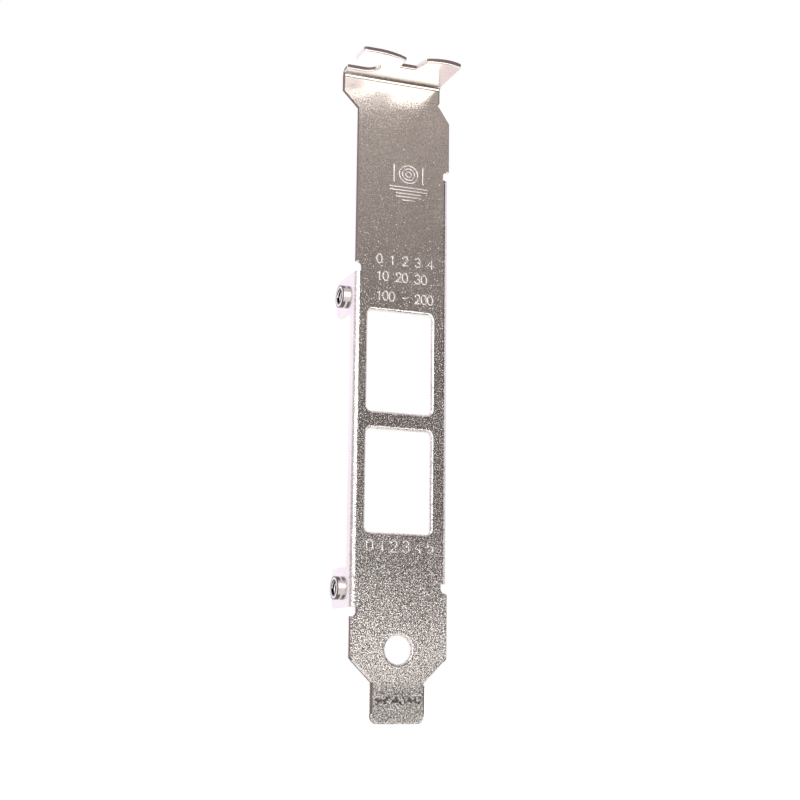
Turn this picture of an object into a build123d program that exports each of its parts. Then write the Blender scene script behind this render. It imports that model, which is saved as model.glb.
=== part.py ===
from build123d import *
import os

os.makedirs("parts", exist_ok=True)

# A full height expansion card bracket, stamped and folded from one plated steel sheet.
# Frame: X runs across the strip, Y points into the chassis and Z points up.
# The origin is where the outer face of the strip, the seating underside of the top flange
# and the centre line of the strip's width meet. All sizes are in millimetres.

# Sheet and its inner bend radii
sheet = 0.86
fold_radius = 0.75
side_bend_radius = 0.2

# The rounding that the punch leaves on the edges of the sheet's outer side
opening_roll = 0.5
tongue_roll = 0.4
flange_roll = 0.3
side_roll = 0.12

# Points closer than this are the same point
touch = 0.001

# Strip and the slanted edges of its wider head
overall_height = 120.02
strip_width = 18.42
left_shoulder_drop = 6.4
right_shoulder_drop = 6.95
right_shoulder_rise = 3.4
head_nick_depth = 0.35
head_nick_height = 0.6

# Tongue at the lower end
tongue_width = 10.19
tongue_length = 7.2
tongue_corner = 1.4
tongue_root_nick = 0.4

# Top flange, which bends away from the chassis
flange_depth = 11.91
flange_width = 19.5
flange_overhang = 3.05
flange_corner = 0.8

# The flange's two prongs have bowed front edges, the left one straight at first
left_prong_straight = 2.8
left_prong_bow = 1.75
right_prong_bow = 0.85
right_prong_corner = 0.6

# Screw slot, open at the flange's left end
slot_width = 4.42
slot_setback = 4.42
slot_reach = 5.48

# Locating notch in the flange's front edge
notch_left = -3.38
notch_root_width = 2.9
notch_mouth_width = 3.73
notch_depth = 4.6

# Port windows
window_width = 12.65
window_height = 18.7
window_pitch = 22.0
window_corner = 0.9
window_offset = -0.33
lower_window_height = 42.9

# Round hole above the tongue
hole_diameter = 5.0
hole_height = 12.9

# Left side flange, which carries the card tabs
side_flange_reach = 2.7
tab_width = 7.2
tab_reach = 10.25
tab_corner = 1.3
tab_root_fillet = 0.8
tab_pitch = 54.0
lower_tab_height = 23.8

# Right side flange
right_flange_bottom = 24.7
right_flange_top = 100.9

# Relief slots at the ends of both side flanges
relief_width = 1.65
relief_margin = 0.14
relief_corner = 0.8
right_strip_corner = 0.38

# Threaded collars drawn out of the tabs
collar_diameter = 4.2
collar_height = 0.9
collar_setback = 6.5
collar_rim_fillet = 0.12
thread_bore = 2.5
draw_radius = 0.45

# Places worked out from the sizes above
tongue_end = sheet - overall_height
shoulder_bottom = tongue_end + tongue_length
shoulder_top = shoulder_bottom + (strip_width - tongue_width) / 2
strip_left = -strip_width / 2
strip_right = strip_width / 2
head_left = strip_left - flange_overhang
head_right = head_left + flange_width
flange_front = sheet - flange_depth
side_bend_outer = side_bend_radius + sheet
left_bend_line = strip_left + side_bend_outer
right_bend_line = strip_right - side_bend_outer
relief_depth = side_bend_outer + relief_margin
tab_heights = [lower_tab_height, lower_tab_height + tab_pitch]
tab_centres = [tongue_end + height for height in tab_heights]
left_bottom = tab_centres[0] - tab_width / 2
left_top = tab_centres[1] + tab_width / 2
collar_centres = [(collar_setback, centre) for centre in tab_centres]
right_bottom = tongue_end + right_flange_bottom
right_top = tongue_end + right_flange_top
window_heights = [lower_window_height, lower_window_height + window_pitch]


def quarter_turn(centre, inner_radius, start_angle):
    """Return the section of the sheet where it bends through a right angle about a centre."""
    with BuildSketch() as section:
        with BuildLine():
            outside = CenterArc(centre, inner_radius + sheet, start_angle, 90)
            inside = CenterArc(centre, inner_radius, start_angle, 90)
            Line(outside @ 0, inside @ 0)
            Line(outside @ 1, inside @ 1)
        make_face()
    return section.sketch


def smooth_run(start, faces, level=0.99):
    """Return the face to start from and every face that it runs on into without a corner."""
    run = [start]
    for member in run:
        for face in faces:
            shared = [edge for edge in face.edges() if edge in member.edges()]
            smooth = [
                edge
                for edge in shared
                if member.normal_at(edge @ 0.5).dot(face.normal_at(edge @ 0.5)) > level
            ]
            if smooth and face not in run:
                run.append(face)
    return run


def lies_along(edge, lines):
    """Tell whether an edge is a stretch of one of the lines."""
    near_start = edge @ 0.1
    middle = edge @ 0.5
    return any(max(line.distance_to(near_start), line.distance_to(middle)) < touch for line in lines)


with BuildPart() as bracket:
    # The strip's face, as it is seen from outside the chassis
    with BuildSketch(Plane.XZ) as face:
        with BuildLine():
            Polyline(
                (-tongue_width / 2, tongue_end),
                (tongue_width / 2, tongue_end),
                (tongue_width / 2, shoulder_bottom - tongue_root_nick),
                (tongue_width / 2 - tongue_root_nick, shoulder_bottom - tongue_root_nick),
                (strip_right, shoulder_top),
                (strip_right, -right_shoulder_drop),
                (head_right - head_nick_depth, right_shoulder_rise - right_shoulder_drop),
                (head_right, right_shoulder_rise - right_shoulder_drop + head_nick_height),
                (head_right, -fold_radius),
                (head_left, -fold_radius),
                (head_left, flange_overhang - left_shoulder_drop),
                (strip_left, -left_shoulder_drop),
                (strip_left, shoulder_top),
                (-tongue_width / 2, shoulder_bottom),
                close=True,
            )
        make_face()
        fillet(face.vertices().group_by(Axis.Y)[0], tongue_corner)

        # Where a side flange bends off, the face stops, and a relief slot clears each end
        for edge, inward, bottom, top in [
            (strip_left, 1, left_bottom, left_top),
            (strip_right, -1, right_bottom, right_top),
        ]:
            with BuildSketch(mode=Mode.PRIVATE) as bend_cut:
                with Locations((edge + inward * relief_depth / 2, (bottom + top) / 2)):
                    Rectangle(relief_depth, top - bottom + 2 * relief_width)
                inner_corners = bend_cut.vertices().sort_by(Axis.X, reverse=inward > 0)[:2]
                fillet(inner_corners, relief_corner)
            add(bend_cut.sketch, mode=Mode.SUBTRACT)
        strip_corner = (strip_right, right_bottom - relief_width)
        fillet(face.vertices().sort_by_distance(strip_corner)[0], right_strip_corner)

        # Port windows and the round hole
        with Locations(*[(window_offset, tongue_end + height) for height in window_heights]):
            RectangleRounded(window_width, window_height, window_corner, mode=Mode.SUBTRACT)
        with Locations((0, tongue_end + hole_height)):
            Circle(hole_diameter / 2, mode=Mode.SUBTRACT)
    extrude(amount=-sheet)

    # The fold at the head and the top flange
    with BuildSketch(Plane.YZ.offset(head_left)):
        add(quarter_turn((-fold_radius, -fold_radius), fold_radius, 0))
    extrude(amount=flange_width)
    with BuildSketch(Plane.XY) as flange:
        with BuildLine():
            left_straight_end = (head_left + left_prong_straight, flange_front)
            left_tip = (notch_left, flange_front + left_prong_bow)
            right_tips = [
                (notch_left + notch_mouth_width, flange_front + right_prong_bow),
                (head_right, flange_front + right_prong_bow),
            ]
            right_crown = ((right_tips[0][0] + head_right) / 2, flange_front)
            Polyline((head_left, -fold_radius), (head_left, flange_front), left_straight_end)
            TangentArc(left_straight_end, left_tip, tangent=(1, 0))
            Polyline(
                left_tip,
                (notch_left, flange_front + notch_depth),
                (notch_left + notch_root_width, flange_front + notch_depth),
                right_tips[0],
            )
            ThreePointArc(right_tips[0], right_crown, right_tips[1])
            Polyline(right_tips[1], (head_right, -fold_radius), (head_left, -fold_radius))
        make_face()
        fillet(flange.vertices().sort_by_distance((head_left, flange_front))[0], flange_corner)
        for tip in right_tips:
            fillet(flange.vertices().sort_by_distance(tip)[0], right_prong_corner)
        with Locations((head_left, -slot_setback)):
            SlotOverall(2 * slot_reach, slot_width, mode=Mode.SUBTRACT)
    extrude(amount=sheet)

    # The left side flange with its two card tabs, and its bend
    with BuildSketch(Plane.YZ.offset(strip_left)) as left_flange:
        with BuildLine():
            Polyline(
                (side_bend_outer, left_bottom),
                (tab_reach, left_bottom),
                (tab_reach, left_bottom + tab_width),
                (side_flange_reach, left_bottom + tab_width),
                (side_flange_reach, left_top - tab_width),
                (tab_reach, left_top - tab_width),
                (tab_reach, left_top),
                (side_bend_outer, left_top),
                close=True,
            )
        make_face()
        depths = left_flange.vertices().group_by(Axis.X)
        fillet(depths[-1], tab_corner)
        fillet(depths[1], tab_root_fillet)
    extrude(amount=sheet)
    with BuildSketch(Plane.XY.offset(left_bottom)):
        add(quarter_turn((left_bend_line, side_bend_outer), side_bend_radius, 180))
        with Locations((left_bend_line + relief_margin / 2, sheet / 2)):
            Rectangle(relief_margin, sheet)
    extrude(amount=left_top - left_bottom)

    # The right side flange and its bend
    with BuildSketch(Plane.XY.offset(right_bottom)):
        add(quarter_turn((right_bend_line, side_bend_outer), side_bend_radius, 270))
        with Locations((right_bend_line - relief_margin / 2, sheet / 2)):
            Rectangle(relief_margin, sheet)
        with Locations((strip_right - sheet / 2, (side_bend_outer + side_flange_reach) / 2)):
            Rectangle(sheet, side_flange_reach - side_bend_outer)
    extrude(amount=right_top - right_bottom)

    # The punch rounds the edges of the sheet's outer side: the openings' most, the long sides' least
    outer_face = bracket.faces().filter_by(Plane.XZ).filter_by_position(Axis.Y, 0, 0)[0]
    outer_side = smooth_run(outer_face, bracket.faces())
    edges = [edge for member in outer_side for edge in member.edges()]
    openings = outer_face.inner_wires().edges()
    outline = [edge for edge in edges if edges.count(edge) == 1 and edge not in openings]
    lower_end = [edge for edge in outline if edge.center().Z < shoulder_top]
    flange_edges = [edge for edge in outline if edge.center().Y < -touch]
    side_lines = [edge for edge in outline if edge not in lower_end + flange_edges]
    fillet(openings, opening_roll)
    fillet(lower_end, tongue_roll)
    fillet(flange_edges, flange_roll)
    side_edges = [edge for edge in bracket.edges() if lies_along(edge, side_lines)]
    fillet(side_edges, side_roll)

    # Collars drawn out of the tabs, bored for the card screws' thread
    with BuildSketch(Plane.YZ.offset(strip_left)):
        with Locations(*collar_centres):
            Circle(collar_diameter / 2)
    extrude(amount=-collar_height)
    collar_rims = bracket.faces().sort_by(Axis.X)[:2]
    fillet(collar_rims.edges(), collar_rim_fillet)
    with BuildSketch(Plane.YZ.offset(strip_left + sheet)):
        with Locations(*collar_centres):
            Circle(thread_bore / 2)
    extrude(amount=-sheet - collar_height, mode=Mode.SUBTRACT)
    bore_mouths = bracket.edges(Select.LAST).filter_by(GeomType.CIRCLE).group_by(Axis.X)[-1]
    fillet(bore_mouths, draw_radius)

bracket.part.label = "bracket"
export_step(bracket.part, "parts/bracket.step")
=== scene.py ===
# %% [markdown]
# A full height expansion card bracket is one stamped and folded sheet of plated steel. The packed
# CAD part already has its true shape, so this lesson dresses it: a finish for the plating, marks
# that a die pressed into it, the threads in its two collars, and the kind of studio that a
# photographer builds for a shiny sheet. Everything is in metres, in the part's own frame.

# %% Load the frame
import math
import random

import bpy
from mathutils import Matrix, Vector


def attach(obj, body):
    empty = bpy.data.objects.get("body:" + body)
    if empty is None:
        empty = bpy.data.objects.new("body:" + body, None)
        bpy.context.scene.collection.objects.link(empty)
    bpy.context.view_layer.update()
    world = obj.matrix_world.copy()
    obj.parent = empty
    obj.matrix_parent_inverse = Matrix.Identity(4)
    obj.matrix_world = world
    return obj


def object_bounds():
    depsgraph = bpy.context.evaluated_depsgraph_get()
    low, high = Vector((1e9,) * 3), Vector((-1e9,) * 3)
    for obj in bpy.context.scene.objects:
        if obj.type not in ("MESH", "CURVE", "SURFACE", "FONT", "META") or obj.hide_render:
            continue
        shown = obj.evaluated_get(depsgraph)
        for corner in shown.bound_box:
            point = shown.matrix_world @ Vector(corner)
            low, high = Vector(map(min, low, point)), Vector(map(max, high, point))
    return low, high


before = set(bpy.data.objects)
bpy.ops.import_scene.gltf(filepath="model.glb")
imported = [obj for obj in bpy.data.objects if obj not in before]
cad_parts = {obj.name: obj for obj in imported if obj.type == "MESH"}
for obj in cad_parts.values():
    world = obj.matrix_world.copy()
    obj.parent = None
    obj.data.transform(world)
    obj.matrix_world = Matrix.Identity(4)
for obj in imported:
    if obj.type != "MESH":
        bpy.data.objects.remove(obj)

MM = 0.001
cad_low, cad_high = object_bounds()
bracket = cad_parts["bracket"]


def mm(*sizes):
    """Return sizes in metres from sizes in millimetres."""
    return [size * MM for size in sizes]


print("CAD box in mm:", [round(size / MM, 2) for size in cad_high - cad_low])

# %% [markdown]
# The camera stands in front of the bracket, to its left, and low, so that the tongue is at eye
# level and the flange is seen from below. A long lens keeps the strip's edges nearly parallel. The
# place and the angles below were worked out from the bracket's known sizes.

# %% Camera
CAMERA_PLACE = Vector((-97.921, -249.684, -112.250)) * MM
CAMERA_TURN = math.radians(21.36)
CAMERA_RISE = math.radians(10.75)
CAMERA_ROLL = math.radians(0.649)
FRAME_PIXELS = 800
FOCAL_PIXELS = 1497.44
SENSOR = 36.0
NEAREST_SEEN = 10 * MM


def aim(turn, rise):
    """Return the direction that is turned right from +Y and raised from the level."""
    level = math.cos(rise)
    return Vector((math.sin(turn) * level, math.cos(turn) * level, math.sin(rise)))


def make_camera():
    ahead = aim(CAMERA_TURN, CAMERA_RISE)
    level_right = Vector((math.cos(CAMERA_TURN), -math.sin(CAMERA_TURN), 0))
    roll = Matrix.Rotation(-CAMERA_ROLL, 3, ahead)
    right = roll @ level_right
    up = roll @ level_right.cross(ahead)
    data = bpy.data.cameras.new("camera")
    data.sensor_width = SENSOR
    data.lens = SENSOR * FOCAL_PIXELS / FRAME_PIXELS
    data.clip_start = NEAREST_SEEN
    camera = bpy.data.objects.new("camera", data)
    turned = Matrix((right, up, -ahead)).transposed().to_4x4()
    camera.matrix_world = Matrix.Translation(CAMERA_PLACE) @ turned
    bpy.context.scene.collection.objects.link(camera)
    bpy.context.scene.camera = camera
    print("lens in mm:", round(data.lens, 2))


make_camera()
bpy.context.scene.view_settings.view_transform = "Standard"

# %% [markdown]
# A finish varies from point to point, and in Blender that is worked out by nodes. Wiring them by
# hand hides the sums, so a small class lets the sums be read: a Wire is a value that changes over
# a surface, and plain arithmetic on it adds the Math nodes.

# %% Wires


class Wire:
    """A number, colour or vector that changes over a surface."""

    def __init__(self, finish, socket):
        self.finish = finish
        self.socket = socket

    def work_out(self, operation, *values):
        """Add a Math node that works on these values."""
        sockets = dict(enumerate(values))
        return self.finish.node("ShaderNodeMath", {"operation": operation}, sockets)

    def __add__(self, other):
        return self.work_out("ADD", self, other)

    __radd__ = __add__

    def __sub__(self, other):
        return self.work_out("SUBTRACT", self, other)

    def __rsub__(self, other):
        return self.work_out("SUBTRACT", other, self)

    def __mul__(self, other):
        return self.work_out("MULTIPLY", self, other)

    __rmul__ = __mul__

    def __abs__(self):
        return self.work_out("ABSOLUTE", self)

    def at_least(self, other):
        return self.work_out("MAXIMUM", self, other)

    def at_most(self, other):
        return self.work_out("MINIMUM", self, other)

    def above(self, other):
        return self.work_out("GREATER_THAN", self, other)

    def below(self, other):
        return self.work_out("LESS_THAN", self, other)

    def between(self, low, high):
        return self.above(low) * self.below(high)

    def root(self):
        return self.work_out("SQRT", self)

    def ramp(self, low, high):
        """Rise smoothly from 0 at low to 1 at high."""
        settings = {"interpolation_type": "SMOOTHSTEP"}
        return self.finish.node("ShaderNodeMapRange", settings, {0: self, 1: low, 2: high})

    def hump(self, rise, fall):
        """Rise from 0 to 1 over the first range and fall back to 0 over the second."""
        return self.ramp(*rise) * (1 - self.ramp(*fall))


print("a Wire can", [name for name in vars(Wire) if not name.startswith("_")])

# %% [markdown]
# A Finish holds one set of nodes. Every node comes from the same method, which takes the node's
# type, then its settings, then the numbers or wires of its sockets. Colours are blended by a Mix
# node and vectors by Vector Math, because a Math node would turn a colour grey.

# %% Finishes


class Finish:
    """A set of shader nodes that are added one by one."""

    def __init__(self, owner):
        owner.use_nodes = True
        self.nodes = owner.node_tree.nodes
        self.links = owner.node_tree.links

    def node(self, kind, settings=None, sockets=None, output=0):
        """Add a node, its settings first and then the values or wires of its sockets."""
        made = self.nodes.new(kind)
        for name, value in (settings or {}).items():
            setattr(made, name, value)
        for name, value in (sockets or {}).items():
            self.feed(made.inputs[name], value)
        return Wire(self, made.outputs[output]) if made.outputs else None

    def feed(self, socket, value):
        if isinstance(value, Wire):
            self.links.new(value.socket, socket)
        else:
            socket.default_value = value

    def mix(self, amount, first, second):
        """Blend two colours."""
        sockets = {0: amount, 6: first, 7: second}
        return self.node("ShaderNodeMix", {"data_type": "RGBA"}, sockets, 2)

    def vector(self, operation, first, second=None, scale=None):
        """Add, subtract, scale or normalise vectors."""
        sockets = {0: first}
        if second is not None:
            sockets[1] = second
        if scale is not None:
            sockets["Scale"] = scale
        return self.node("ShaderNodeVectorMath", {"operation": operation}, sockets)

    def parts(self, vector, axes):
        """Return a vector's parts along these axes."""
        return [self.node("ShaderNodeSeparateXYZ", None, {0: vector}, axis) for axis in axes]

    def noise(self, place, size, detail=0.0, output="Fac"):
        """Add noise whose blobs are about this size."""
        sockets = {"Vector": place, "Scale": 1 / size, "Detail": detail}
        return self.node("ShaderNodeTexNoise", None, sockets, output)


print("a Finish can", [name for name in vars(Finish) if not name.startswith("_")])

# %% [markdown]
# The room is white, and the Light Path node tells which kind of ray looks at it. The camera sees
# plain white and the metal mirrors a faint lavender, while the light that fills the shadows is
# weaker, so that the lamps can model the shape.

# %% White room
WHITE = (1.0, 1.0, 1.0, 1.0)
LAVENDER = (1.06, 1.0, 1.11, 1.0)
FILL_LIGHT = 0.55
CAMERA_RAYS = ("Is Camera Ray",)
LOOKING_RAYS = CAMERA_RAYS + ("Is Glossy Ray", "Is Transmission Ray")


def seen_by(finish, kinds):
    """Be 1 for rays of these kinds and 0 for all others."""
    return sum(finish.node("ShaderNodeLightPath", None, None, kind) for kind in kinds).at_most(1)


def make_world():
    world = bpy.data.worlds.new("white_room")
    bpy.context.scene.world = world
    room = Finish(world)
    room.nodes.clear()
    colour = room.mix(seen_by(room, CAMERA_RAYS), LAVENDER, WHITE)
    shown = room.node("ShaderNodeBackground", None, {"Color": colour, "Strength": 1.0})
    fill = room.node("ShaderNodeBackground", None, {"Color": WHITE, "Strength": FILL_LIGHT})
    looking = seen_by(room, LOOKING_RAYS)
    both = room.node("ShaderNodeMixShader", None, {0: looking, 1: fill, 2: shown})
    room.node("ShaderNodeOutputWorld", None, {"Surface": both})
    print(world.name, "has", len(room.nodes), "nodes")


make_world()

# %% [markdown]
# The floor touches the end of the tongue. It is matt white paper, which keeps the object's shadow,
# and it glows for the camera and the metal, just enough to look white.

# %% Floor
FLOOR_HALF = 2.5
FLOOR_COLOUR = (0.80, 0.80, 0.80, 1.0)
FLOOR_GLOW = 0.72


def linked_piece(name, corners, faces):
    """Make a mesh and put it in the scene."""
    mesh = bpy.data.meshes.new(name)
    mesh.from_pydata(corners, [], faces)
    piece = bpy.data.objects.new(name, mesh)
    bpy.context.scene.collection.objects.link(piece)
    return piece


def make_floor():
    level = cad_low.z
    signs = [(-1, -1), (1, -1), (1, 1), (-1, 1)]
    corners = [(x * FLOOR_HALF, y * FLOOR_HALF, level) for x, y in signs]
    floor = linked_piece("floor", corners, [[0, 1, 2, 3]])
    material = bpy.data.materials.new("floor_paper")
    paper = Finish(material)
    paper.nodes.clear()
    matt = paper.node("ShaderNodeBsdfDiffuse", None, {"Color": FLOOR_COLOUR})
    strength = seen_by(paper, LOOKING_RAYS) * FLOOR_GLOW
    glow = paper.node("ShaderNodeEmission", None, {"Color": WHITE, "Strength": strength})
    both = paper.node("ShaderNodeAddShader", None, {0: matt, 1: glow})
    paper.node("ShaderNodeOutputMaterial", None, {"Surface": both})
    floor.data.materials.append(material)
    print("floor at mm:", round(level / MM, 2))


make_floor()

# %% [markdown]
# Bare metal has no colour of its own to show: it shows the room. So a photographer lights steel by
# choosing what it mirrors. A large soft lamp at the front left draws the white line down the left
# bend. One that lies on the table whitens the fold and all that is turned down. A weak violet one
# behind tints the sides that face left.

# %% Lamps
AIM_POINT = Vector((0, 0, -60)) * MM
VIOLET = (1.02, 0.935, 1.23)


def around(bearing, rise, distance):
    """Return a place round the bracket: bearing 0 is in front, 90 at the right, in degrees."""
    bearing = math.radians(bearing)
    rise = math.radians(rise)
    flat = distance * math.cos(rise)
    step = (math.sin(bearing) * flat, -math.cos(bearing) * flat, distance * math.sin(rise))
    return AIM_POINT + Vector(step)


def soft_lamp(name, place, towards, width, height, brightness, colour=(1.0, 1.0, 1.0)):
    """Add a soft lamp whose face has that brightness, where 1 is white."""
    data = bpy.data.lights.new(name, "AREA")
    data.shape = "RECTANGLE"
    data.size = width
    data.size_y = height
    data.color = colour
    data.energy = brightness * math.pi * width * height
    lamp = bpy.data.objects.new(name, data)
    lamp.location = place
    lamp.rotation_euler = (towards - place).to_track_quat("-Z", "Y").to_euler()
    lamp.visible_camera = False
    bpy.context.scene.collection.objects.link(lamp)
    print(name, "power in W:", round(data.energy, 2))


front = around(bearing=-39, rise=12, distance=0.70)
table = Vector((0.105, -0.335, cad_low.z + 2 * MM))
straight_up = table + Vector((0, 0, 1))
back = around(bearing=-161, rise=16, distance=0.80)
soft_lamp("front_lamp", front, AIM_POINT, width=0.72, height=0.75, brightness=1.5)
soft_lamp("table_lamp", table, straight_up, width=0.26, height=0.45, brightness=1.45)
soft_lamp("back_lamp", back, AIM_POINT, width=0.75, height=0.75, brightness=0.22, colour=VIOLET)

# %% [markdown]
# Cards shape the reflections further. Only the metal sees them: they glow in their own colour, and
# are hidden from the camera and from the light that fills the shadows. A card can change its
# colour with the height, first above its foot and again towards its top.

# %% Glow of the cards
FOOT_FADE = (-0.115, -0.035)
TOP_FADE = (0.02, 0.24)


def glow_for_metal(card, at_foot, low, high):
    """Give a card a glow that only the metal sees, and that changes with the height."""
    material = bpy.data.materials.new(card.name)
    grey = Finish(material)
    grey.nodes.clear()
    [height] = grey.parts(grey.node("ShaderNodeNewGeometry", None, None, "Position"), "Z")
    upper = grey.mix(height.ramp(*TOP_FADE), low, high)
    shade = grey.mix(height.ramp(*FOOT_FADE), at_foot, upper)
    glow = grey.node("ShaderNodeEmission", None, {"Color": shade, "Strength": 1.0})
    grey.node("ShaderNodeOutputMaterial", None, {"Surface": glow})
    card.data.materials.append(material)
    card.visible_camera = False
    card.visible_diffuse = False
    card.visible_transmission = False
    card.visible_shadow = False
    print(card.name, "glows at its foot as", at_foot[:3])


print("cards fade in m: at the foot over", FOOT_FADE, "and at the top over", TOP_FADE)

# %% [markdown]
# Seen from the camera, the flat face mirrors one patch of the room, at its right. The right card
# stands there, pale at its foot and top and darker between, so that the grey changes down the
# strip. Dark cards on both sides of it deepen the grain, since every tilted speck mirrors a bit of
# them. The left card shades the left bend, and bright cards stand higher, at the left and behind.

# %% Upright cards
PALE_FOOT = (0.52, 0.485, 0.465, 1.0)
DARK_MIDDLE = (0.105, 0.092, 0.088, 1.0)
PALE_TOP = (0.56, 0.50, 0.47, 1.0)
DARK = (0.12, 0.10, 0.104, 1.0)
SILVER = (0.64, 0.60, 0.64, 1.0)
BRIGHT = (1.9, 1.85, 1.8, 1.0)
CARD_DISTANCE = 0.6
CARD_COLUMNS = 12
CARD_ROWS = 8
CARD_TOP = 0.45


def grey_card(name, bearings, colours, bottom=cad_low.z, top=CARD_TOP):
    """Add an upright curved card, with its colours at the foot, low and high."""
    first, last = bearings
    corners = []
    faces = []
    for row in range(CARD_ROWS + 1):
        height = bottom + (top - bottom) * row / CARD_ROWS
        for column in range(CARD_COLUMNS + 1):
            bearing = math.radians(first + (last - first) * column / CARD_COLUMNS)
            x = math.sin(bearing) * CARD_DISTANCE
            y = -math.cos(bearing) * CARD_DISTANCE
            corners.append((x, y, height))
    for row in range(CARD_ROWS):
        for column in range(CARD_COLUMNS):
            low = row * (CARD_COLUMNS + 1) + column
            high = low + CARD_COLUMNS + 1
            faces.append([low, low + 1, high + 1, high])
    glow_for_metal(linked_piece(name, corners, faces), *colours)


grey_card("core_card", (-11, 12), [DARK] * 3)
grey_card("right_card", (12, 31), [PALE_FOOT, DARK_MIDDLE, PALE_TOP])
grey_card("edge_card", (31, 58), [DARK] * 3)
grey_card("left_card", (-120, -70), [SILVER] * 3, top=0.15)
grey_card("bright_card", (-120, -70), [BRIGHT] * 3, bottom=0.16)
grey_card("rear_card", (140, 175), [BRIGHT] * 3, bottom=0.12)

# %% [markdown]
# Three flat cards finish single places. A dark one on the floor at the right is what the fold
# mirrors as its dark line. A pink one on the floor behind tints the right of the flange. A small
# white one in front of the head brightens the face below the screw slot.

# %% Flat cards
BROWN = (0.17, 0.13, 0.11, 1.0)
PINK = (1.03, 0.76, 0.84, 1.0)
CREAM = (1.25, 1.16, 1.14, 1.0)
FLOOR_GAP = 1 * MM
SLOT_CARD_PLACE = -30
SLOT_CARD = [(-8, 7), (8, 7), (8, 30), (-8, 30)]


def flat_card(name, corners, colour):
    """Add a flat card in one colour."""
    card = linked_piece(name, [tuple(corner) for corner in corners], [[0, 1, 2, 3]])
    glow_for_metal(card, colour, colour, colour)


def floor_card(name, left, right, front, back, colour):
    """Lay a card just above the floor, its sides given in millimetres."""
    step = Vector((0, 0, cad_low.z + FLOOR_GAP))
    corners = [(left, front), (right, front), (right, back), (left, back)]
    flat_card(name, [Vector((x, y, 0)) * MM + step for x, y in corners], colour)


floor_card("foot_card", left=26, right=85, front=-80, back=4, colour=BROWN)
floor_card("pink_card", left=113, right=300, front=100, back=420, colour=PINK)
flat_card("slot_card", [Vector((x, SLOT_CARD_PLACE, z)) * MM for x, z in SLOT_CARD], CREAM)

# %% [markdown]
# A punch shears through the first part of a sheet, and the rest breaks off, dull and darker. So
# what an edge looks like depends on how deep it lies below the sheet's outer side. For the strip
# and the flange that depth is measured from two planes with the round of the fold between them,
# and beside a side flange from the round of its bend.

# %% Depth in the sheet
FOLD_RADIUS = 0.75 * MM
BEND_RADIUS = 1.06 * MM
HALF_WIDTH = 9.21 * MM
LEFT_FLANGE = mm(-98.96, -37.76)
RIGHT_FLANGE = mm(-94.46, -18.26)


def past_corner(first, second):
    """Return the distance from a corner to what lies past it."""
    first = first.at_least(0)
    second = second.at_least(0)
    return (first * first + second * second).root()


def depth_in_sheet(x, y, z):
    """Return the depth without the side bends, the depth with them, and 1 where a bend is."""
    plain = past_corner(y + FOLD_RADIUS, z + FOLD_RADIUS) - FOLD_RADIUS
    inward = HALF_WIDTH - abs(x)
    round_bend = BEND_RADIUS - past_corner(BEND_RADIUS - inward, BEND_RADIUS - y)
    on_left = x.below(0) * z.between(*LEFT_FLANGE)
    on_right = x.above(0) * z.between(*RIGHT_FLANGE)
    bent = (on_left + on_right) * inward.below(BEND_RADIUS)
    return plain, plain + bent * (round_bend - plain), bent


print("left flange is mm long:", round((LEFT_FLANGE[1] - LEFT_FLANGE[0]) / MM, 2))

# %% [markdown]
# The long sides of the strip and the tongue keep a sharp edge, where the break starts at once. All
# other edges are rolled, and their break is a dark line behind the roll. The walls of the windows
# and of the hole are clean, and the tabs behind the face are left out.

# %% Broken edges
TOUCH = 0.01 * MM
STRIP_SIDES = mm(-108.2, 0)
STRIP_INSIDE = 7 * MM
TONGUE_SIDES = mm(-117.4, -111.9)
TONGUE_INSIDE = 4.5 * MM
SHARP_BREAK = 0.55 * MM
SIDEWAYS = (0.08, 0.25)
ROLL_END = mm(0.26, 0.34)
SHEET_END = mm(0.82, 0.86)
TURNED_BACK = (-0.7, -0.3)
FLANGE_START = -1.6 * MM
TAB_START = 2.6 * MM
WINDOW_MIDDLE = -0.33 * MM
WINDOW_HALF = 7.2 * MM
WINDOWS = mm(-87, -43)
HOLE_HALF = 3 * MM
HOLE = mm(-109.5, -103)


def broken_mask(steel, place, normal):
    """Be 1 where the sheet broke off behind the punch."""
    x, y, z = steel.parts(place, "XYZ")
    across, along = steel.parts(normal, "XY")
    plain, depth, bent = depth_in_sheet(x, y, z)
    on_strip = z.between(*STRIP_SIDES) * abs(x).above(STRIP_INSIDE) * plain.above(-TOUCH)
    on_tongue = z.between(*TONGUE_SIDES) * abs(x).above(TONGUE_INSIDE)
    sharp = (on_strip + on_tongue).at_most(1) * (1 - bent.at_most(1))
    sheared = abs(across).ramp(*SIDEWAYS) * depth.below(SHARP_BREAK)
    behind_flange = along.ramp(*TURNED_BACK) * y.below(FLANGE_START)
    rolled = depth.hump(ROLL_END, SHEET_END) * (1 - behind_flange)
    broken = sharp * sheared + (1 - sharp) * rolled
    in_windows = abs(x - WINDOW_MIDDLE).below(WINDOW_HALF) * z.between(*WINDOWS)
    in_hole = abs(x).below(HOLE_HALF) * z.between(*HOLE)
    return broken * (1 - in_windows) * (1 - in_hole) * y.below(TAB_START)


print("a rolled edge breaks at mm:", ROLL_END[0] / MM, "and ends at mm:", SHEET_END[1] / MM)
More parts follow.
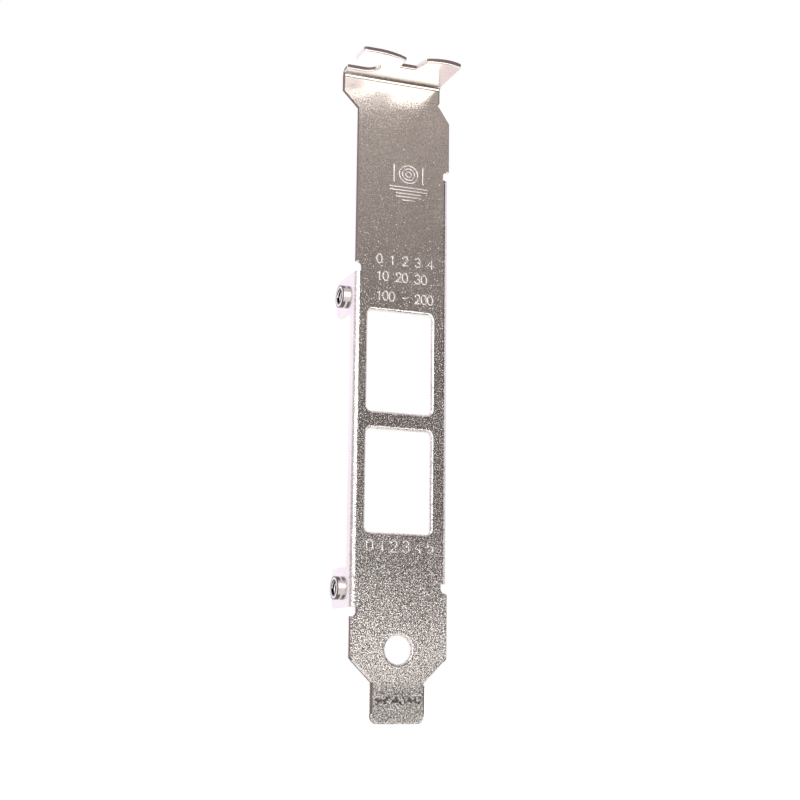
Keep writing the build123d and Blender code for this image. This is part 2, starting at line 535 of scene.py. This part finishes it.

# %% [markdown]
# Painted shade darkens the collars: in the mouth of the bore, on the rim, and as dark reflections
# on the wall above and below. Both collars are the same, so one sum covers the two: it folds the
# strip at the height halfway between them and measures from the nearer bore's axis.

# %% Painted shade on the collars
COLLAR_SETBACK = 6.5
COLLAR_HEIGHTS = {"thread_lower": -95.36, "thread_upper": -41.36}
TAB_SIDE = -8.3 * MM
WALL_SIDE = -9.4 * MM
RIM_SIDE = -9.93 * MM
MOUTH_START = mm(1.14, 1.20)
MOUTH_END = mm(1.50, 1.60)
COLLAR_OUTSIDE = mm(1.88, 2.2)
WALL_FADE = mm(1.0, 1.5)
# Painted shade on the collar's wall above and below, standing in for dark reflections, and on its
# rim.
WALL_PAINTED_SHADE = 0.85
RIM_PAINTED_SHADE = 0.9


def painted_collar_shade_mask(steel, place):
    """Be 1 where the collars get painted shade."""
    x, y, z = steel.parts(place, "XYZ")
    lower, upper = COLLAR_HEIGHTS.values()
    side = y - COLLAR_SETBACK * MM
    rise = abs(z - (lower + upper) / 2 * MM) - (upper - lower) / 2 * MM
    radius = (side * side + rise * rise).root()
    mouth = radius.hump(MOUTH_START, MOUTH_END)
    outside = radius.between(*COLLAR_OUTSIDE)
    wall = outside * x.below(WALL_SIDE) * abs(rise).ramp(*WALL_FADE) * WALL_PAINTED_SHADE
    rim = outside * x.below(RIM_SIDE) * RIM_PAINTED_SHADE
    return x.below(TAB_SIDE) * (mouth + wall.at_least(rim))


print("collars at mm:", COLLAR_HEIGHTS)

# %% [markdown]
# The rolls leave a fine skin on the sheet, with grains and shallow pits about a quarter of a
# millimetre across, which breaks up its reflections into sparkle. Noise of that size tilts the
# light just as the skin does. A colour noise is three numbers, so it tilts every way at once, and
# two such noises have a middle of 1, which is taken off again. The skin is roughest low on the
# face, smoother towards the flange, and nearly gone on the sides.

# %% Rolled skin
COARSE_GRAIN = 0.24 * MM
FINE_GRAIN = 0.14 * MM
PIT_SIZE = 0.21 * MM
GRAIN_TILT = 0.20
PIT_TILT = 1.80
PIT_RANGE = (0.50, 0.70)
STRIP_FADE = mm(-92, -22)
STRIP_SMOOTHING = 0.62
HEAD_FADE = mm(-5, -1)
HEAD_SMOOTHING = 0.3
SIDE_FADE = mm(0.7, 1.2)
SIDE_SMOOTHING = 0.85
NOISE_MIDDLE = (1.0, 1.0, 1.0)


def rolled_skin(steel, place, normal):
    """Return where the skin is pitted, and the normal that the grains and pits have tilted."""
    coarse = steel.noise(place, COARSE_GRAIN, output="Color")
    fine = steel.noise(place, FINE_GRAIN, output="Color")
    y, height = steel.parts(place, "YZ")
    rough = 1 - height.ramp(*STRIP_FADE) * STRIP_SMOOTHING
    rough = rough - height.ramp(*HEAD_FADE) * HEAD_SMOOTHING
    rough = rough * (1 - y.ramp(*SIDE_FADE) * SIDE_SMOOTHING)
    pits = steel.noise(place, PIT_SIZE).ramp(*PIT_RANGE) * rough
    every_way = steel.vector("SUBTRACT", steel.vector("ADD", coarse, fine), NOISE_MIDDLE)
    tilt = steel.vector("SCALE", every_way, scale=GRAIN_TILT * rough + pits * PIT_TILT)
    return pits, steel.vector("NORMALIZE", steel.vector("ADD", normal, tilt))


print("grains in mm:", COARSE_GRAIN / MM, "and", FINE_GRAIN / MM, "pits:", PIT_SIZE / MM)

# %% [markdown]
# Painted shade darkens the pits of the lower face, most near the bottom and fading upwards. Soil
# darkens the metal in specks all over the tongue, which is pushed in and out of its pocket, and in
# blotches along the row that is worn the most. The darkest of the three wins.

# %% Soil and painted pit shade
# Painted shade in the pits of the lower face, and the heights over which it fades out.
PIT_PAINTED_SHADE = 0.70
PIT_SHADE_FADE = mm(-85, -45)
TONGUE_FADE = mm(-113.2, -111)
SPECK_SIZE = 0.30 * MM
SPECK_RANGE = (0.44, 0.58)
SPECK_SOIL = 0.72
WORN_START = mm(-116.4, -115.4)
WORN_END = mm(-114.5, -114.1)
BLOTCH_SIZE = 0.85 * MM
BLOTCH_RANGE = (0.46, 0.56)
BLOTCH_SOIL = 0.95


def soil_and_pit_shade_mask(steel, place, pits):
    """Be 1 where the metal is fully soiled, or fully darkened by painted shade in its pits."""
    [height] = steel.parts(place, "Z")
    # Painted shade in the pits, strongest low on the face and fading upwards.
    painted_pit_shade = pits * (1 - height.ramp(*PIT_SHADE_FADE)) * PIT_PAINTED_SHADE
    specks = steel.noise(place, SPECK_SIZE, detail=1.0).ramp(*SPECK_RANGE) * SPECK_SOIL
    scuffed = (1 - height.ramp(*TONGUE_FADE)) * specks
    blotches = steel.noise(place, BLOTCH_SIZE, detail=1.0).ramp(*BLOTCH_RANGE) * BLOTCH_SOIL
    worn = height.hump(WORN_START, WORN_END) * blotches
    return painted_pit_shade.at_least(scuffed).at_least(worn)


print("the worn row spans mm:", WORN_START[0] / MM, "to", WORN_END[1] / MM)

# %% [markdown]
# Plated sheet is nearly white metal with a warm cast. A slow noise lets the colour and the gloss
# drift a little, as they do over a plated batch. Broken edges are rougher and less metallic. The
# underside of the flange has a haze where it runs into the fold, which softens the line there.

# %% Plated steel
PLATING = (0.74, 0.70, 0.66, 1.0)
PLATING_DULL = (0.70, 0.655, 0.62, 1.0)
# Colour of the soil on the tongue and of the painted shade in the pits.
SOIL_AND_PIT_SHADE = (0.12, 0.11, 0.10, 1.0)
BROKEN_EDGE = (0.19, 0.14, 0.13, 1.0)
# Near-black painted shade for the bore mouths, rims and walls of the collars.
PAINTED_COLLAR_SHADE = (0.03, 0.025, 0.03, 1.0)
CLOUD_SIZE = 9 * MM
CLOUD_RANGE = (0.35, 0.65)
CLOUD_MIDDLE = 0.5
SATIN = 0.16
CLOUD_SATIN = 0.06
PIT_SATIN = 0.20
HAZE_START = mm(-3.2, -1.2)
HAZE_END = mm(-0.75, -0.6)
HAZE_LEVEL = -0.1 * MM
HAZE_SATIN = 0.25
BROKEN_SATIN = 0.62
BROKEN_DULLING = 0.35


def plated_steel(name):
    material = bpy.data.materials.new(name)
    steel = Finish(material)
    surface = steel.nodes["Principled BSDF"]
    place = steel.node("ShaderNodeTexCoord", None, None, "Object")
    normal = steel.node("ShaderNodeNewGeometry", None, None, "Normal")
    y, height = steel.parts(place, "YZ")
    broken = broken_mask(steel, place, normal)
    pits, tilted = rolled_skin(steel, place, normal)
    cloud = steel.noise(place, CLOUD_SIZE, detail=2.0)
    colour = steel.mix(cloud.ramp(*CLOUD_RANGE), PLATING_DULL, PLATING)
    # Painted shade in the pits and soil on the tongue darken the colour.
    colour = steel.mix(soil_and_pit_shade_mask(steel, place, pits), colour, SOIL_AND_PIT_SHADE)
    colour = steel.mix(broken, colour, BROKEN_EDGE)
    # Painted shade darkens the collars' bore mouths, rims and walls.
    colour = steel.mix(painted_collar_shade_mask(steel, place), colour, PAINTED_COLLAR_SHADE)
    haze = y.hump(HAZE_START, HAZE_END) * height.above(HAZE_LEVEL)
    satin = SATIN + (cloud - CLOUD_MIDDLE) * CLOUD_SATIN + pits * PIT_SATIN + haze * HAZE_SATIN
    steel.feed(surface.inputs["Normal"], tilted)
    steel.feed(surface.inputs["Base Color"], colour)
    steel.feed(surface.inputs["Roughness"], satin + broken * (BROKEN_SATIN - satin))
    steel.feed(surface.inputs["Metallic"], 1 - broken * BROKEN_DULLING)
    print(name, "has", len(steel.nodes), "nodes")
    return material


steel = plated_steel("plated_steel")
bracket.data.materials.clear()
bracket.data.materials.append(steel)
print("bracket has", len(bracket.data.polygons), "facets")

# %% [markdown]
# A die presses signs up out of the sheet. Plain numbers and shapes are enough to show how that
# looks. Each sign is a few strokes, and a stroke is a path of points. A digit is drawn in a box
# one high, and a row of digits is scaled and spaced along the face, in millimetres.

# %% Strokes of the signs
ARC_STEPS = 14


def arc(centre, radii, start, end, steps=ARC_STEPS):
    """Return points along part of an ellipse, its angles in degrees from +X."""
    angles = [math.radians(start + (end - start) * step / steps) for step in range(steps + 1)]
    x, z = centre
    return [(x + radii[0] * math.cos(angle), z + radii[1] * math.sin(angle)) for angle in angles]


SIGNS = {
    "0": [arc((0.3, 0.5), (0.3, 0.5), 90, 450, 26)],
    "1": [[(0.12, 0.78), (0.34, 1.0), (0.34, 0.0)]],
    "2": [arc((0.3, 0.72), (0.28, 0.28), 170, -35) + [(0.02, 0.0)], [(0.02, 0.0), (0.6, 0.0)]],
    "3": [arc((0.28, 0.74), (0.27, 0.26), 150, -80), arc((0.28, 0.26), (0.31, 0.26), 80, -150)],
    "4": [[(0.44, 0.0), (0.44, 1.0), (0.0, 0.3), (0.6, 0.3)]],
    "5": [[(0.56, 1.0), (0.1, 1.0), (0.06, 0.55)] + arc((0.28, 0.32), (0.31, 0.32), 130, -150)],
    "-": [[(0.08, 0.45), (0.52, 0.45)]],
}


def row_of(text, left, bottom, height, advance):
    """Return the strokes of a row of signs, in millimetres on the face."""
    strokes = []
    for place, sign in enumerate(text):
        for stroke in SIGNS.get(sign, []):
            start = left + place * advance
            strokes.append([(start + x * height, bottom + z * height) for x, z in stroke])
    return strokes


print("strokes of each sign:", {sign: len(strokes) for sign, strokes in SIGNS.items()})

# %% [markdown]
# A pressed stroke is a low ridge with round flanks, and the light catches its lower one. An arched
# section is carried along the path. It starts a little below the face, so that no gap shows, and
# an open stroke gets two smaller sections at each end, which round it off.

# %% Ridges
RIDGE_WIDTH = 0.34
RIDGE_HEIGHT = 0.09
RIDGE_FOOT = 0.05
ARCH_STEPS = 8
END_SHARES = (0.15, 0.75)
SAME_POINT = 0.001


def ridge(points, width, height):
    """Return the corners and faces of a low ridge along a path on the face."""
    last = len(points) - 1
    closed = math.dist(points[0], points[-1]) < SAME_POINT
    sections = [(place, 1.0) for place in range(last + 1)]
    if not closed:
        start = [(0, share) for share in END_SHARES]
        end = [(last, share) for share in reversed(END_SHARES)]
        sections = start + sections + end
    corners = []
    for order, (place, share) in enumerate(sections):
        before = points[max(place - 1, 0)]
        after = points[min(place + 1, last)]
        if closed and place in (0, last):
            before, after = points[last - 1], points[1]
        run = Vector((after[0] - before[0], after[1] - before[1])).normalized()
        ahead = math.sqrt(1 - share * share) * width / 2
        if order < len(END_SHARES):
            ahead = -ahead
        for step in range(ARCH_STEPS + 1):
            turn = math.pi * step / ARCH_STEPS
            across = math.cos(turn) * width / 2 * share
            rise = math.sin(turn) * (height + RIDGE_FOOT) * share - RIDGE_FOOT
            x = points[place][0] + run.x * ahead - run.y * across
            z = points[place][1] + run.y * ahead + run.x * across
            corners.append((x * MM, -rise * MM, z * MM))
    return corners, strip_of_faces(len(sections), ARCH_STEPS + 1)


def strip_of_faces(sections, count):
    """Return the faces between sections that have that many corners each."""
    faces = []
    for section in range(sections - 1):
        for step in range(count - 1):
            low = section * count + step
            faces.append([low, low + 1, low + count + 1, low + count])
    return faces


print("a ridge stands mm high:", RIDGE_HEIGHT)

# %% [markdown]
# All the strokes of a mark become one piece. It is smooth shaded, has the same plated finish as
# the sheet, and rides on the bracket's only body.

# %% Plated pieces


def plated_piece(name, corners, faces):
    """Add a smooth piece of plated steel that goes with the bracket."""
    piece = linked_piece(name, corners, faces)
    for face in piece.data.polygons:
        face.use_smooth = True
    piece.data.materials.append(steel)
    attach(piece, "root")
    return piece


def pressed(name, strokes, width=RIDGE_WIDTH, height=RIDGE_HEIGHT):
    """Make one piece of all the ridges of a mark."""
    corners = []
    faces = []
    for stroke in strokes:
        new_corners, new_faces = ridge(stroke, width, height)
        faces += [[place + len(corners) for place in face] for face in new_faces]
        corners += new_corners
    piece = plated_piece(name, corners, faces)
    print(name, "has", len(strokes), "strokes and", len(piece.data.polygons), "facets")


# %% [markdown]
# The top mark is three rings between two posts, over bars that get shorter. Below it, above the
# windows, come three rows of numbers, and a scale of larger and bolder ones under the windows.

# %% Pressed marks
MARK_MIDDLE = 1.0
RING_HEIGHT = -18.1
RING_RADII = (0.55, 1.2, 1.85)
RING_SQUASH = 0.92
RING_STEPS = 40
POST_SIDES = (-1.9, 3.9)
POST_TOP = -16.5
POST_BOTTOM = -19.7
BAR_START = -20.7
BAR_DROP = 0.62
BAR_HALVES = (3.7, 3.7, 2.4, 2.4, 1.1)
ROWS = {"0 1 2 3 4": -35.9, "10 20 30": -39.1, "100 - 200": -42.9}


def sign_strokes():
    """Return the strokes of the rings, the posts and the bars."""
    centre = (MARK_MIDDLE, RING_HEIGHT)
    sizes = [(radius, radius * RING_SQUASH) for radius in RING_RADII]
    rings = [arc(centre, size, 90, 450, RING_STEPS) for size in sizes]
    posts = [[(side, POST_TOP), (side, POST_BOTTOM)] for side in POST_SIDES]
    bars = []
    for step, half in enumerate(BAR_HALVES):
        height = BAR_START - BAR_DROP * step
        bars.append([(MARK_MIDDLE - half, height), (MARK_MIDDLE + half, height)])
    return rings + posts + bars


pressed("pressed_sign", sign_strokes())
rows = []
for text, bottom in ROWS.items():
    rows += row_of(text, left=-5.1, bottom=bottom, height=1.7, advance=1.27)
pressed("pressed_rows", rows)
scale = row_of("0 1 2 3 4 5", left=-6.3, bottom=-89.0, height=2.0, advance=1.16)
pressed("pressed_scale", scale, width=0.38, height=0.13)

# %% [markdown]
# The tongue carries scuffs in two rows. Each is a short bent ridge with its own slant, drawn from
# a seeded list of random numbers, so that every run makes the same ones.

# %% Worn marks
WORN_SEED = 7
WORN_ROWS = [(-113.9, 20, 0.1, 0.55), (-115.4, 16, 0.3, 0.3)]
WORN_LEFT = -3.6
WORN_RIGHT = 4.1
WORN_BEND = 0.1


def worn_strokes():
    """Return the scuffs of each row, which has its height, count, spread and half length."""
    chance = random.Random(WORN_SEED)
    strokes = []
    for level, count, spread, half in WORN_ROWS:
        for place in range(count):
            x = WORN_LEFT + (WORN_RIGHT - WORN_LEFT) * (place + chance.random()) / count
            z = level + chance.gauss(0, spread)
            drop = chance.gauss(0, spread)
            bend = chance.uniform(-WORN_BEND, WORN_BEND)
            strokes.append([(x - half, z - drop), (x, z + bend), (x + half, z + drop)])
    return strokes


pressed("worn_marks", worn_strokes(), width=0.66, height=0.12)

# %% [markdown]
# The collars are tapped for the card's screws. A tap leaves one ridge that winds round the bore,
# with slanted flanks and a narrow flat crest. It is made as a helix: that section is carried round
# the axis and along it at once.

# %% Threads
THREAD_PITCH = 0.5
THREAD_CREST = 1.10
THREAD_FOOT = 1.28
CREST_HALF = 0.03
FOOT_HALF = 0.20
THREAD_START = -10.02
THREAD_END = -8.85
TURN_STEPS = 48


def thread(name, height):
    """Wind a ridge round the bore at that height."""
    turns = (THREAD_END - THREAD_START) / THREAD_PITCH
    steps = round(turns * TURN_STEPS)
    section = [
        (THREAD_FOOT, -FOOT_HALF),
        (THREAD_CREST, -CREST_HALF),
        (THREAD_CREST, CREST_HALF),
        (THREAD_FOOT, FOOT_HALF),
    ]
    corners = []
    for step in range(steps + 1):
        turn = 2 * math.pi * step / TURN_STEPS
        along = THREAD_START + THREAD_PITCH * step / TURN_STEPS
        for radius, shift in section:
            y = COLLAR_SETBACK + radius * math.cos(turn)
            z = height + radius * math.sin(turn)
            corners.append(((along + shift) * MM, y * MM, z * MM))
    plated_piece(name, corners, strip_of_faces(steps + 1, len(section)))
    print(name, "winds round", round(turns, 1), "times")


for name, height in COLLAR_HEIGHTS.items():
    thread(name, height)

# %% [markdown] The CAD part's box was worked out at the start, before the dressing.
# Nothing that was added may reach outside the CAD part.
